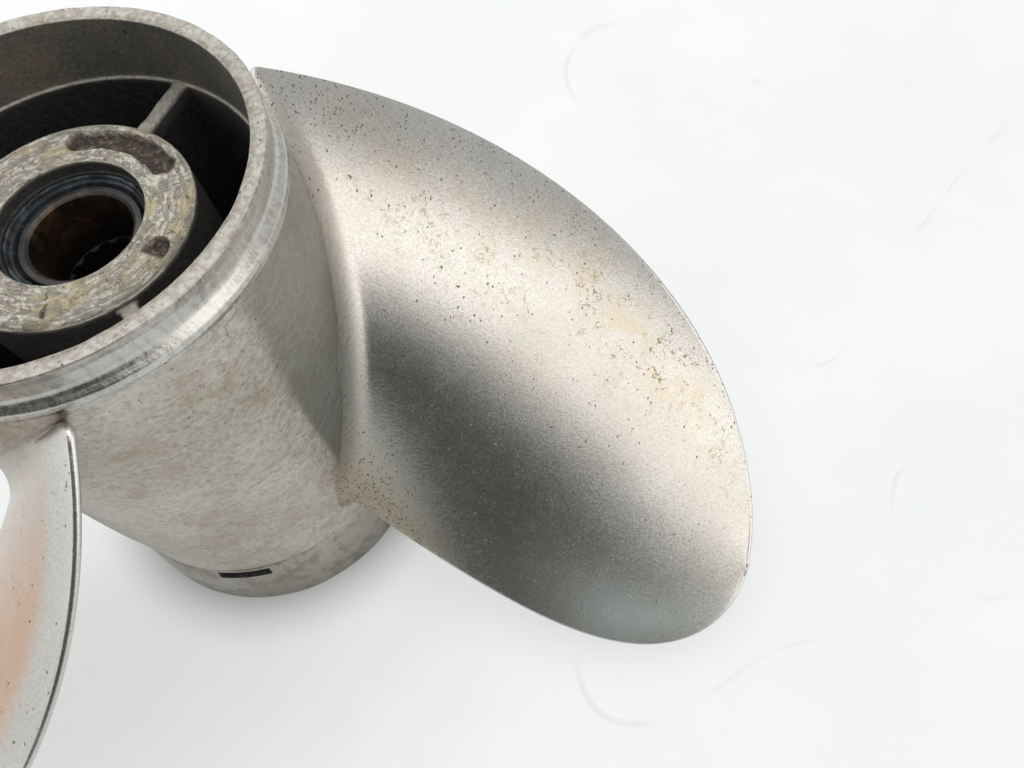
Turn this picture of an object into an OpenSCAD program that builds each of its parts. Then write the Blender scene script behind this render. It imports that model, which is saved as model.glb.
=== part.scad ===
// Through-hub exhaust propeller for an outboard or stern drive.
// +Z points forward along the shaft, towards the gearcase.
// The origin is on the shaft axis, where the drive sleeve's pilot bore starts.
// The propeller stands on its aft rim, and turns clockwise seen from aft.

/* [Blades] */
// Diameter swept by the blade tips
prop_d = 358; // [330:1:372]
// Distance that the blade face advances in one turn
pitch = 462; // [400:1:500]
// Angle by which the blades lean towards the aft end
rake = 20; // [14:1:23]
// Thickness of a blade at the barrel, without its fillet
root_t = 8.5; // [6:0.5:10]
// Thickness of a blade at its tip
tip_t = 2.4; // [2:0.2:3.4]
// Thickness of the leading and trailing edges
edge_t = 1.8; // [1.4:0.2:2]
// Radius of the fillet where a blade joins the barrel
root_fillet = 9; // [5:1:10]

/* [Barrel] */
// Outer diameter of the barrel at its middle
barrel_d = 105.2; // [104:0.2:106]
// Length from the forward rim to the aft rim
overall_len = 163.4; // [158:0.2:172]
// Inner diameter of the exhaust passage
passage_d = 93.4; // [91:0.2:94]
// Depth of the counterbore behind the forward rim
counterbore_depth = 17.1; // [15:0.1:20]

/* [Forward collar] */
// Outer diameter of the lip that enters the gearcase
lip_d = 102.7; // [101:0.1:103]
// Inner diameter of the lip and counterbore
mouth_d = 95.2; // [95:0.1:96.4]
// Height of the collar
collar_h = 12.4; // [11:0.1:14]

/* [Diffuser ring] */
// Height of the flared ring
diffuser_h = 28.4; // [26:0.2:34]
// Diameter of the ring at the aft rim
diffuser_d = 109.6; // [108:0.2:114]
// Width of each relief slot, measured round the ring
slot_w = 17; // [8:1:20]
// Height of each relief slot
slot_h = 3.8; // [2:0.2:5]

/* [Inner hub] */
// Outer diameter of the inner hub
hub_d = 59.4; // [58:0.2:62]
// Diameter of the opening for the thrust washer
hub_mouth_d = 35.4; // [35:0.2:38]
// Thickness of the three webs
web_t = 4.4; // [4:0.2:8]
// Depth of the kidney-shaped pockets
pocket_depth = 3; // [1.5:0.5:3.5]

/* [Drive sleeve and cushion] */
// Diameter of the plain pilot bore
pilot_d = 24.7; // [24:0.1:25]
// Outer diameter of the sleeve
sleeve_d = 29.6; // [29:0.2:30]
// Length of the sleeve
sleeve_len = 98; // [90:1:100]
// Outer diameter of the rubber cushion
cushion_d = 46; // [42:0.5:48]
// Number of splines
spline_n = 15; // [13:1:17]

/* [Hidden] */
$fn = 96;

// Steel, cast steel, rubber and sleeve colours
steel = [0.66, 0.65, 0.62];
cast_steel = [0.58, 0.56, 0.52];
dark_steel = [0.46, 0.44, 0.40];
rubber = [0.10, 0.11, 0.13];
sleeve_metal = [0.45, 0.44, 0.42];

// Heights along the shaft axis
sleeve_setback = 22;
rim_z = sleeve_setback;
aft_z = rim_z - overall_len;
collar_z = rim_z - collar_h;
ledge_z = rim_z - counterbore_depth;
seam_z = aft_z + diffuser_h;
hub_face_z = rim_z - 15.7;
hub_aft_z = -100;
sector_step = 120;
eps = 0.01;

// Barrel
barrel_r = barrel_d / 2;
passage_r = passage_d / 2;
mouth_r = mouth_d / 2;
aft_barrel_r = barrel_r - 0.8;
taper_z = rim_z - 81;
spigot_len = 1;
spigot_r = 49.3;

// Forward collar
lip_r = lip_d / 2;
lip_chamfer = 0.7;
bead_r = 2;
bead_bulge = 1.6;

// Diffuser ring
diffuser_r = diffuser_d / 2;
rim_wall = 3;
slot_az = -86;
slot_drop = 3.1;

// Inner hub
hub_r = hub_d / 2;
hub_mouth_r = hub_mouth_d / 2;
hub_lip_t = 6.8;
seat_depth = 3.7;
web_az = 68.8;
pocket_mid_r = 24.6;
pocket_half_w = 2.95;
pocket_reach = 30;

// Drive sleeve and cushion
pilot_r = pilot_d / 2;
pilot_len = 16;
sleeve_r = sleeve_d / 2;
sleeve_chamfer = 0.8;
spline_root_r = pilot_r - 0.25;
spline_tip_r = pilot_r - 1.25;
spline_gap = 2.6;
cushion_r = cushion_d / 2;
cushion_top_z = hub_face_z - hub_lip_t;
cushion_len = 88;
cushion_nose_r = hub_mouth_r - 0.5;
cushion_nose_z = 2.3;
nose_gap = 0.1;
running_gap = 0.05;

// Blade sections: the first lies inside the barrel wall, the last near the tip
tip_r = prop_d / 2;
root_r = barrel_r;
root_sink = 2.4;
lead_root_az = 48.7;
lead_slope = -35.8;
lead_bend = -17.4;
lead_round = 8.2;
trail_root_az = -36;
trail_slope = 5;
trail_bend = 1.3;
trail_round = 5;
tip_az = -17.2;
lead_root_z = rim_z - 11.9;
lead_ref_az = 47;
fillet_steps = 4;
span_steps = 26;
last_span_angle = 88.6;
chord_steps = 22;
ring_n = 2 * (chord_steps + 1) + 2;
section_n = 1 + fillet_steps + span_steps;

// Radius of section i: inside the wall, up the fillet, then out to the tip
fillet_angle = asin(root_fillet / (tip_r - root_r));
function section_r(i) =
    i == 0 ? root_r - root_sink
    : i <= fillet_steps ? root_r + root_fillet * (1 - cos(90 * (i - 1) / fillet_steps))
    : let (step = (i - fillet_steps - 1) / (span_steps - 1))
      root_r + (tip_r - root_r) * sin(fillet_angle + (last_span_angle - fillet_angle) * step);

// Azimuth of one edge at span share x, which closes round at the tip
function edge_az(x, root_az, slope, bend, roundness) =
    root_az + slope * x + bend * x * x
    + (tip_az - root_az - slope - bend) * (1 - sqrt(1 - pow(x, roundness)));
function lead_az(x) = edge_az(x, lead_root_az, lead_slope, lead_bend, lead_round);
function trail_az(x) = edge_az(x, trail_root_az, trail_slope, trail_bend, trail_round);

// Height of the raked helical surface at radius r and azimuth az
function helix_z(r, az) =
    lead_root_z + pitch * (az - lead_ref_az) / 360 - tan(rake) * (r - root_r);

// How far the fillet spreads each side at radius r
function fillet_spread(r) =
    let (d = max(0, r - root_r))
    d >= root_fillet ? 0 : root_fillet - sqrt(root_fillet * root_fillet - pow(root_fillet - d, 2));

// The fillet shrinks towards the two ends of the root, at chord share c
function fillet_share(c) = min(1, 0.05 + 8 * c, 0.5 + 8 * (1 - c));

// Thickness above the pressure face at chord share c
function thickness(x, c) =
    let (full = root_t + (tip_t - root_t) * pow(x, 0.8))
    edge_t / 2 + (max(full, edge_t) - edge_t) * pow(sin(180 * c), 0.9);

// Point at radius r, moved by s along the section's normal and by p along its chord
function section_point(r, az, s, p) =
    let (
        lead = pitch / 360 * 180 / PI,
        norm = sqrt(r * r + lead * lead),
        turn = (p * r - s * lead) / norm / r * 180 / PI,
        z = helix_z(r, az) + (p * lead + s * r) / norm
    )
    [r * cos(az + turn), r * sin(az + turn), z];

// One closed ring of points round the section at step i
function section_ring(i) =
    let (
        r = section_r(i),
        x = max(0, (r - root_r) / (tip_r - root_r)),
        a = lead_az(x),
        b = trail_az(x),
        f = fillet_spread(r)
    )
    [
        for (k = [0:chord_steps])
            let (c = (1 - cos(180 * k / chord_steps)) / 2)
            section_point(r, a + (b - a) * c, thickness(x, c) + f * fillet_share(c), 0),
        section_point(r, b, 0, -edge_t / 2 - 0.4 * f),
        for (k = [chord_steps:-1:0])
            let (c = (1 - cos(180 * k / chord_steps)) / 2)
            section_point(r, a + (b - a) * c, -edge_t / 2 - f * fillet_share(c), 0),
        section_point(r, a, 0, edge_t / 2)
    ];

// Index of the point at chord step k on the forward side, or on the aft side
function front_i(k) = k;
function back_i(k) = 2 * chord_steps + 2 - k;
trail_nose = chord_steps + 1;
lead_nose = ring_n - 1;

// Triangles that close one end of the blade
cap_triangles = [
    for (k = [0:chord_steps - 1])
        each [
            [front_i(k), front_i(k + 1), back_i(k + 1)],
            [front_i(k), back_i(k + 1), back_i(k)]
        ],
    [front_i(chord_steps), trail_nose, back_i(chord_steps)],
    [front_i(0), back_i(0), lead_nose]
];

module blade(turn) {
    points = [for (i = [0:section_n - 1]) each section_ring(i)];
    last = (section_n - 1) * ring_n;
    sides = [
        for (i = [0:section_n - 2], k = [0:ring_n - 1])
            let (
                n = (k + 1) % ring_n,
                low = i * ring_n,
                high = low + ring_n
            )
            each [
                [low + k, low + n, high + n],
                [low + k, high + n, high + k]
            ]
    ];
    root_cap = [for (t = cap_triangles) [t[2], t[1], t[0]]];
    tip_cap = [for (t = cap_triangles) [last + t[0], last + t[1], last + t[2]]];
    color(steel)
        rotate(turn)
            polyhedron(points, concat(sides, root_cap, tip_cap), convexity = 6);
}

// A thin-walled round lip with a rounded bead below it
module front_collar() {
    color(steel)
        rotate_extrude() {
            polygon([
                [mouth_r, collar_z],
                [lip_r, collar_z],
                [lip_r, rim_z - lip_chamfer],
                [lip_r - lip_chamfer, rim_z],
                [mouth_r + lip_chamfer, rim_z],
                [mouth_r, rim_z - lip_chamfer]
            ]);
            translate([lip_r + bead_bulge - bead_r, collar_z + bead_r])
                circle(bead_r);
        }
}

// Tube that carries the blades, with a spigot for the diffuser ring
module outer_barrel() {
    color(cast_steel)
        rotate_extrude()
            polygon([
                [passage_r, seam_z - spigot_len],
                [spigot_r, seam_z - spigot_len],
                [spigot_r, seam_z],
                [aft_barrel_r, seam_z],
                [barrel_r - 0.2, (seam_z + taper_z) / 2],
                [barrel_r, taper_z],
                [barrel_r - 0.1, collar_z],
                [mouth_r, collar_z],
                [mouth_r, ledge_z],
                [passage_r, ledge_z]
            ]);
}

// Flared ring at the aft end, slotted in three places
module diffuser_ring() {
    color(cast_steel)
        difference() {
            rotate_extrude()
                polygon([
                    [spigot_r, seam_z],
                    [spigot_r, seam_z - spigot_len],
                    [passage_r + 1, seam_z - spigot_len],
                    [diffuser_r - rim_wall, aft_z],
                    [diffuser_r, aft_z],
                    [diffuser_r - 0.9, aft_z + diffuser_h * 0.55],
                    [diffuser_r - 1.7, aft_z + diffuser_h * 0.78],
                    [diffuser_r - 2.5, aft_z + diffuser_h * 0.94],
                    [aft_barrel_r, seam_z]
                ]);
            for (k = [0:2])
                rotate(slot_az + k * sector_step)
                    translate([passage_r - 2, -slot_w / 2, seam_z - slot_drop - slot_h / 2])
                        cube([14, slot_w, slot_h]);
        }
}

// Outline of one kidney-shaped pocket, centred on the X axis
module pocket_outline() {
    far = pocket_mid_r * 2;
    intersection() {
        difference() {
            circle(pocket_mid_r + pocket_half_w);
            circle(pocket_mid_r - pocket_half_w);
        }
        polygon([
            [0, 0],
            [far * cos(pocket_reach), -far * sin(pocket_reach)],
            [far, 0],
            [far * cos(pocket_reach), far * sin(pocket_reach)]
        ]);
    }
    for (side = [-1, 1])
        rotate(side * pocket_reach)
            translate([pocket_mid_r, 0])
                circle(pocket_half_w);
}

// Inner tube that holds the cushion, with pockets in its forward face
module inner_hub() {
    color(cast_steel)
        difference() {
            rotate_extrude()
                polygon([
                    [hub_mouth_r, hub_face_z],
                    [hub_mouth_r, hub_face_z - seat_depth],
                    [cushion_nose_r + nose_gap, hub_face_z - seat_depth],
                    [cushion_nose_r + nose_gap, cushion_top_z],
                    [cushion_r, cushion_top_z],
                    [cushion_r, hub_aft_z + 1.5],
                    [cushion_r + 1.5, hub_aft_z],
                    [hub_r, hub_aft_z],
                    [hub_r, hub_face_z - 1],
                    [hub_r - 1, hub_face_z]
                ]);
            for (k = [0:2])
                rotate(web_az + k * sector_step)
                    translate([0, 0, hub_face_z - pocket_depth])
                        linear_extrude(pocket_depth + 1)
                            pocket_outline();
        }
}

// Radial web that joins the inner hub to the barrel
module web(turn) {
    color(dark_steel)
        intersection() {
            rotate(turn)
                translate([hub_r - 5, -web_t / 2, hub_aft_z])
                    cube([passage_r - hub_r + 10, web_t, ledge_z - hub_aft_z]);
            translate([0, 0, hub_aft_z - 1])
                difference() {
                    cylinder(r = passage_r, h = overall_len);
                    translate([0, 0, -1])
                        cylinder(r = hub_r, h = overall_len + 2);
                }
        }
}

// Rubber bush that is pressed into the inner hub
module rubber_cushion() {
    color(rubber)
        rotate_extrude()
            polygon([
                [sleeve_r + running_gap, cushion_top_z - cushion_len],
                [cushion_r, cushion_top_z - cushion_len],
                [cushion_r, cushion_top_z],
                [cushion_nose_r, cushion_top_z],
                [cushion_nose_r, cushion_nose_z - 0.6],
                [cushion_nose_r - 0.6, cushion_nose_z],
                [sleeve_r + 1.4, cushion_nose_z],
                [sleeve_r + running_gap, cushion_nose_z - 2.6]
            ]);
}

// Plan of the splined bore: the minor circle and the spaces between the teeth
module spline_plan() {
    circle(spline_tip_r);
    intersection() {
        circle(spline_root_r);
        for (k = [0:spline_n - 1])
            rotate(k * 360 / spline_n)
                translate([0, -spline_gap / 2])
                    square([spline_root_r + 1, spline_gap]);
    }
}

// Metal sleeve with a plain pilot bore and internal splines
module drive_sleeve() {
    color(sleeve_metal)
        difference() {
            translate([0, 0, sleeve_chamfer - sleeve_len])
                cylinder(r = sleeve_r, h = sleeve_len);
            translate([0, 0, -pilot_len])
                cylinder(r = pilot_r, h = pilot_len + sleeve_chamfer + 1);
            translate([0, 0, -eps])
                cylinder(r1 = pilot_r, r2 = pilot_r + sleeve_chamfer + eps, h = sleeve_chamfer + 2 * eps);
            translate([0, 0, -sleeve_len])
                linear_extrude(sleeve_len)
                    spline_plan();
        }
}

front_collar();
outer_barrel();
diffuser_ring();
inner_hub();
web(web_az);  // web_1
web(web_az - sector_step);  // web_2
web(web_az + sector_step);  // web_3
blade(0);  // blade_1
blade(-sector_step);  // blade_2
blade(sector_step);  // blade_3
rubber_cushion();
drive_sleeve();
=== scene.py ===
import math

import bpy
import numpy as np
from mathutils import Matrix, Vector


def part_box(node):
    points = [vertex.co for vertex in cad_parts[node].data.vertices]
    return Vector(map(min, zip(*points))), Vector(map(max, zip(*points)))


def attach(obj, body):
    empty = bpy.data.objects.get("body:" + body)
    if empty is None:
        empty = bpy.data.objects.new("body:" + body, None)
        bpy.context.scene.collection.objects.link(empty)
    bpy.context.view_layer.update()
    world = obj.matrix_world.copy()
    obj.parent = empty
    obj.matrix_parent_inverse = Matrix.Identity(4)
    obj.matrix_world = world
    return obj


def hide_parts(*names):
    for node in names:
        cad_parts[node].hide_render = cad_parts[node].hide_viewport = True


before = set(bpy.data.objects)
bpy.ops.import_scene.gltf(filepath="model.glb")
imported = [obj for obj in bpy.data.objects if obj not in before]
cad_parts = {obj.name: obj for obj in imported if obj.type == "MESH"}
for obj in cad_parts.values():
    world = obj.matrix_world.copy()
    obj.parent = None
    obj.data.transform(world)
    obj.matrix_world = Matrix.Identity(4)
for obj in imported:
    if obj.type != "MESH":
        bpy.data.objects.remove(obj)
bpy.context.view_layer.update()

# ---------------------------------------------------------------- sizes
# Everything is in metres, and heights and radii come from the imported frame.
MM = 0.001
RIM_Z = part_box("front_collar")[1].z
COLLAR_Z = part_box("front_collar")[0].z
AFT_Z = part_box("diffuser_ring")[0].z
SEAM_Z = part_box("diffuser_ring")[1].z
SPIGOT_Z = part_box("outer_barrel")[0].z
BARREL_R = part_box("outer_barrel")[1].x
DIFFUSER_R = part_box("diffuser_ring")[1].x
HUB_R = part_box("inner_hub")[1].x
HUB_FACE_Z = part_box("inner_hub")[1].z
HUB_AFT_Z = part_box("inner_hub")[0].z
WEB_TOP_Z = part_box("web_1")[1].z
SLEEVE_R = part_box("drive_sleeve")[1].x
SLEEVE_TOP_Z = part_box("drive_sleeve")[1].z
SLEEVE_AFT_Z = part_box("drive_sleeve")[0].z
CUSHION_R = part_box("rubber_cushion")[1].x
CUSHION_NOSE_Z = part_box("rubber_cushion")[1].z
CUSHION_AFT_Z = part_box("rubber_cushion")[0].z

MOUTH_R = 47.6 * MM
PASSAGE_R = 46.7 * MM
LIP_R = 51.35 * MM
SPIGOT_R = 49.3 * MM
AFT_BARREL_R = BARREL_R - 0.8 * MM
HUB_MOUTH_R = 17.7 * MM
HUB_STEP_R = 17.3 * MM
HUB_SEAT_DEPTH = 3.7 * MM
CUSHION_TOP_Z = -0.5 * MM
CUSHION_NOSE_R = 17.2 * MM
PILOT_R = 12.35 * MM
PILOT_LEN = 16 * MM
SPLINE_ROOT_R = 12.1 * MM
SPLINE_TIP_R = 11.1 * MM
SPLINES = 15
BLADES = 3
STEP = 360 / BLADES

# Blade: a raked helical surface inside an outline that closes round at the tip
EDGE_T = 1.8 * MM
TIP_R = 178.6 * MM - EDGE_T / 2
ROOT_T = 8.5 * MM
TIP_T = 2.4 * MM
PITCH = 462 * MM
RAKE = math.tan(math.radians(20))
LEAD_ROOT_Z = RIM_Z - 11.9 * MM
LEAD_REF_AZ = 47
TIP_AZ = -17.2
LEAD_EDGE = (48.7, -35.8, -17.4, 8.2)
TRAIL_EDGE = (-36, 5, 1.3, 5)
LEAD_CORNER = 6.5
FILLET = 6 * MM

WEB_AZ = 68.8
WEB_T = 4.4 * MM
POCKET_R = 24.6 * MM
POCKET_HALF_W = 2.95 * MM
POCKET_REACH = 30
POCKET_DEPTH = 3 * MM
SLOT_AZ = -86
SLOT_HALF_W = 8.5 * MM
SLOT_MID_Z = SEAM_Z - 3.1 * MM
SLOT_H = 3.8 * MM

# Distance from a corner at which an extra row keeps its shading crisp
HOLD = 0.05 * MM


# ---------------------------------------------------------------- mesh tools
def ripples(points, wavelength, seed, waves=14):
    """Smooth noise of about unit size at each point: a sum of seeded plane waves."""
    rng = np.random.default_rng(seed)
    total = np.zeros(points.shape[:-1])
    for _ in range(waves):
        direction = rng.normal(size=3)
        direction *= 2 * math.pi / (wavelength * rng.uniform(0.6, 1.7) * np.linalg.norm(direction))
        total += np.sin(points @ direction + rng.uniform(0, 2 * math.pi))
    return total * math.sqrt(2 / waves)


def make_object(name, verts, faces, attributes=None):
    """A smooth-shaded object whose faces look outwards, with point attributes for its material."""
    tris = np.array([(f[0], f[k], f[k + 1]) for f in faces for k in range(1, len(f) - 1)])
    a, b, c = (verts[tris[:, k]] for k in range(3))
    if np.einsum("ij,ij->i", a, np.cross(b, c)).sum() < 0:
        faces = [f[::-1] for f in faces]
    mesh = bpy.data.meshes.new(name)
    mesh.from_pydata(verts.tolist(), [], [list(map(int, f)) for f in faces])
    for key, values in (attributes or {}).items():
        values = np.ascontiguousarray(values, np.float32).ravel()
        if len(values) == 3 * len(verts):
            mesh.attributes.new(key, "FLOAT_VECTOR", "POINT").data.foreach_set("vector", values)
        else:
            mesh.attributes.new(key, "FLOAT", "POINT").data.foreach_set("value", values)
    mesh.polygons.foreach_set("use_smooth", [True] * len(mesh.polygons))
    mesh.validate()
    obj = bpy.data.objects.new(name, mesh)
    bpy.context.scene.collection.objects.link(obj)
    return obj


def loop_faces(rows, cols, close_rows):
    """Quads of a grid whose columns close on themselves, and whose rows may."""
    last = rows if close_rows else rows - 1
    return [
        (
            i * cols + j,
            i * cols + (j + 1) % cols,
            (i + 1) % rows * cols + (j + 1) % cols,
            (i + 1) % rows * cols + j,
        )
        for i in range(last)
        for j in range(cols)
    ]


def rounded_profile(corners, step):
    """Dense closed outline from corners (r, z, radius): each corner becomes an arc of that radius."""
    n = len(corners)
    arcs = []
    for i in range(n):
        p = np.array(corners[i][:2])
        before = np.array(corners[i - 1][:2]) - p
        after = np.array(corners[(i + 1) % n][:2]) - p
        lb, la = np.linalg.norm(before), np.linalg.norm(after)
        ub, ua = before / lb, after / la
        half = math.acos(max(-1, min(1, float(ub @ ua)))) / 2
        radius = corners[i][2]
        if radius <= 0 or half > math.radians(89.5):
            arcs.append([p])
            continue
        cut = min(radius / math.tan(half), 0.45 * lb, 0.45 * la)
        radius = cut * math.tan(half)
        centre = p + (ub + ua) / np.linalg.norm(ub + ua) * radius / math.sin(half)
        start, end = p + ub * cut - centre, p + ua * cut - centre
        turn = math.atan2(start[0] * end[1] - start[1] * end[0], float(start @ end))
        count = max(3, int(abs(turn) / math.radians(15)) + 1)
        arcs.append([
            centre + np.array([
                start[0] * math.cos(t) - start[1] * math.sin(t),
                start[0] * math.sin(t) + start[1] * math.cos(t),
            ])
            for t in np.linspace(0, turn, count)
        ])
    path = []
    for i in range(n):
        path += arcs[i]
        gap = arcs[(i + 1) % n][0] - arcs[i][-1]
        length = np.linalg.norm(gap)
        pieces = max(1, int(length / step))
        shares = [k / pieces for k in range(1, pieces)]
        if length > 8 * HOLD:
            shares = [HOLD / length] + shares + [1 - HOLD / length]
        path += [arcs[i][-1] + gap * share for share in shares]
    return np.array(path)


def revolve(profile, cols):
    """Points [row][column] of the profile turned round the shaft axis."""
    angle = np.arange(cols) * 2 * math.pi / cols
    r, z = profile[:, :1], profile[:, 1:]
    return np.stack([r * np.cos(angle), r * np.sin(angle), z + 0 * angle], -1)


def profile_normals(profile):
    """Unit outward normals (r, z) of a closed outline."""
    along = np.roll(profile, -1, 0) - np.roll(profile, 1, 0)
    along /= np.maximum(np.linalg.norm(along, axis=1, keepdims=True), 1e-12)
    r, z = profile[:, 0], profile[:, 1]
    area = (r * np.roll(z, -1) - np.roll(r, -1) * z).sum()
    side = 1 if area > 0 else -1
    return np.stack([along[:, 1], -along[:, 0]], 1) * side


def push(points, profile, amount):
    """Moves revolved points along the outline's outward normal by amount."""
    normal = profile_normals(profile)
    out = np.stack([points[..., 0], points[..., 1]], -1)
    out /= np.linalg.norm(out, axis=-1, keepdims=True)
    moved = points.copy()
    moved[..., :2] += out * (normal[:, None, :1] * amount[..., None])
    moved[..., 2] += normal[:, None, 1] * amount
    return moved


def smooth(x):
    x = np.clip(x, 0, 1)
    return x * x * (3 - 2 * x)


def bump(x, centre, width):
    return np.exp(-(((x - centre) / width) ** 2))


def place(obj, body, node, material):
    """The piece moves with its body, stands for its CAD node and takes its finish from the slot."""
    obj.data.materials.append(material)
    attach(obj, body)
    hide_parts(node)


# ---------------------------------------------------------------- shader tools
class Nodes:
    """Short names for the shader nodes of one material."""

    def __init__(self, name):
        self.material = bpy.data.materials.new(name)
        self.material.use_nodes = True
        self.tree = self.material.node_tree
        self.shader = self.tree.nodes["Principled BSDF"]
        self.coords = self.tree.nodes.new("ShaderNodeTexCoord").outputs["Object"]

    def link(self, value, socket):
        if isinstance(value, tuple):
            socket.default_value = (*value, 1) if len(socket.default_value) > len(value) else value
        elif isinstance(value, (int, float)):
            socket.default_value = value
        else:
            self.tree.links.new(value, socket)

    def add(self, kind, inputs=None, **settings):
        node = self.tree.nodes.new(kind)
        for key, value in settings.items():
            setattr(node, key, value)
        for key, value in (inputs or {}).items():
            self.link(value, node.inputs[key])
        return node

    def attribute(self, name):
        return self.add("ShaderNodeAttribute", attribute_name=name).outputs["Fac"]

    def attribute_vector(self, name):
        return self.add("ShaderNodeAttribute", attribute_name=name).outputs["Vector"]

    def math(self, operation, a, b=0.0, clamp=False):
        return self.add("ShaderNodeMath", {0: a, 1: b}, operation=operation, use_clamp=clamp).outputs[0]

    def times(self, a, b, clamp=False):
        return self.math("MULTIPLY", a, b, clamp)

    def most(self, a, b):
        return self.math("MAXIMUM", a, b)

    def inverse(self, share):
        return self.math("SUBTRACT", 1.0, share)

    def stretched(self, scale, turn=(0, 0, 0)):
        node = self.add("ShaderNodeMapping", {"Vector": self.coords})
        node.inputs["Scale"].default_value = scale
        node.inputs["Rotation"].default_value = [math.radians(t) for t in turn]
        return node.outputs[0]

    def noise(self, scale, detail=4, rough=0.55, distort=0.0, where=None):
        return self.add(
            "ShaderNodeTexNoise",
            {
                "Vector": where or self.coords,
                "Scale": float(scale),
                "Detail": float(detail),
                "Roughness": rough,
                "Distortion": distort,
            },
        ).outputs["Fac"]

    def cells(self, scale, where):
        return self.add("ShaderNodeTexVoronoi", {"Vector": where, "Scale": float(scale), "Randomness": 1.0})

    def ramp(self, value, low, high, to_low=0.0, to_high=1.0):
        return self.add(
            "ShaderNodeMapRange",
            {"Value": value, "From Min": low, "From Max": high, "To Min": to_low, "To Max": to_high},
            interpolation_type="SMOOTHSTEP",
        ).outputs["Result"]

    def mix(self, factor, a, b):
        node = self.add("ShaderNodeMix", data_type="RGBA")
        self.link(factor, node.inputs[0])
        self.link(a, node.inputs[6])
        self.link(b, node.inputs[7])
        return node.outputs[2]

    def blend(self, factor, a, b):
        node = self.add("ShaderNodeMix", data_type="FLOAT")
        self.link(factor, node.inputs[0])
        self.link(a, node.inputs[2])
        self.link(b, node.inputs[3])
        return node.outputs[0]

    def relief(self, height, depth, under=None):
        """A bump of that depth in metres, on top of the normal of an earlier one."""
        inputs = {"Height": height, "Strength": 1.0, "Distance": depth}
        if under is not None:
            inputs["Normal"] = under
        return self.add("ShaderNodeBump", inputs).outputs["Normal"]

    def finish(self, colour, roughness, metallic, normal):
        for key, value in (
            ("Base Color", colour), ("Roughness", roughness), ("Metallic", metallic), ("Normal", normal),
        ):
            self.link(value, self.shader.inputs[key])
        return self.material


def pit_mask(n, scale, size, density, stretch=(1, 1, 1), turn=(0, 0, 0)):
    """1 inside scattered pits: cells of one Voronoi, kept where their random value is under density."""
    wobble = n.add("ShaderNodeTexNoise", {"Vector": n.coords, "Scale": scale * 1.7, "Detail": 2.0})
    inputs = {0: wobble.outputs["Color"], 1: (0.5 / scale,) * 3}
    offset = n.add("ShaderNodeVectorMath", inputs, operation="MULTIPLY").outputs[0]
    inputs = {0: n.stretched(stretch, turn), 1: offset}
    cell = n.cells(scale, n.add("ShaderNodeVectorMath", inputs, operation="ADD").outputs[0])
    chance = n.add("ShaderNodeSeparateColor", {"Color": cell.outputs["Color"]}).outputs
    kept = n.math("LESS_THAN", chance[0], density)
    reach = n.times(n.math("ADD", chance[1], 0.35), size)
    inside = n.math("SUBTRACT", reach, cell.outputs["Distance"])
    return n.times(kept, n.ramp(inside, -0.02, 0.05))


def sooty_wall(n):
    """Olive-grey film with brown stains, a salt-and-pepper grain and a few pits."""
    wall = n.mix(n.ramp(n.noise(60, 4), 0.42, 0.62), (0.105, 0.106, 0.095), (0.15, 0.128, 0.103))
    wall = n.mix(n.ramp(n.noise(1300, 3, 0.6), 0.5, 0.68, 0, 0.45), wall, (0.25, 0.245, 0.215))
    wall = n.mix(n.ramp(n.noise(900, 3, 0.6), 0.47, 0.36, 0, 0.45), wall, (0.055, 0.055, 0.05))
    return n.mix(pit_mask(n, 420, 0.16, 0.06), wall, (0.025, 0.022, 0.018))


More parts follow.
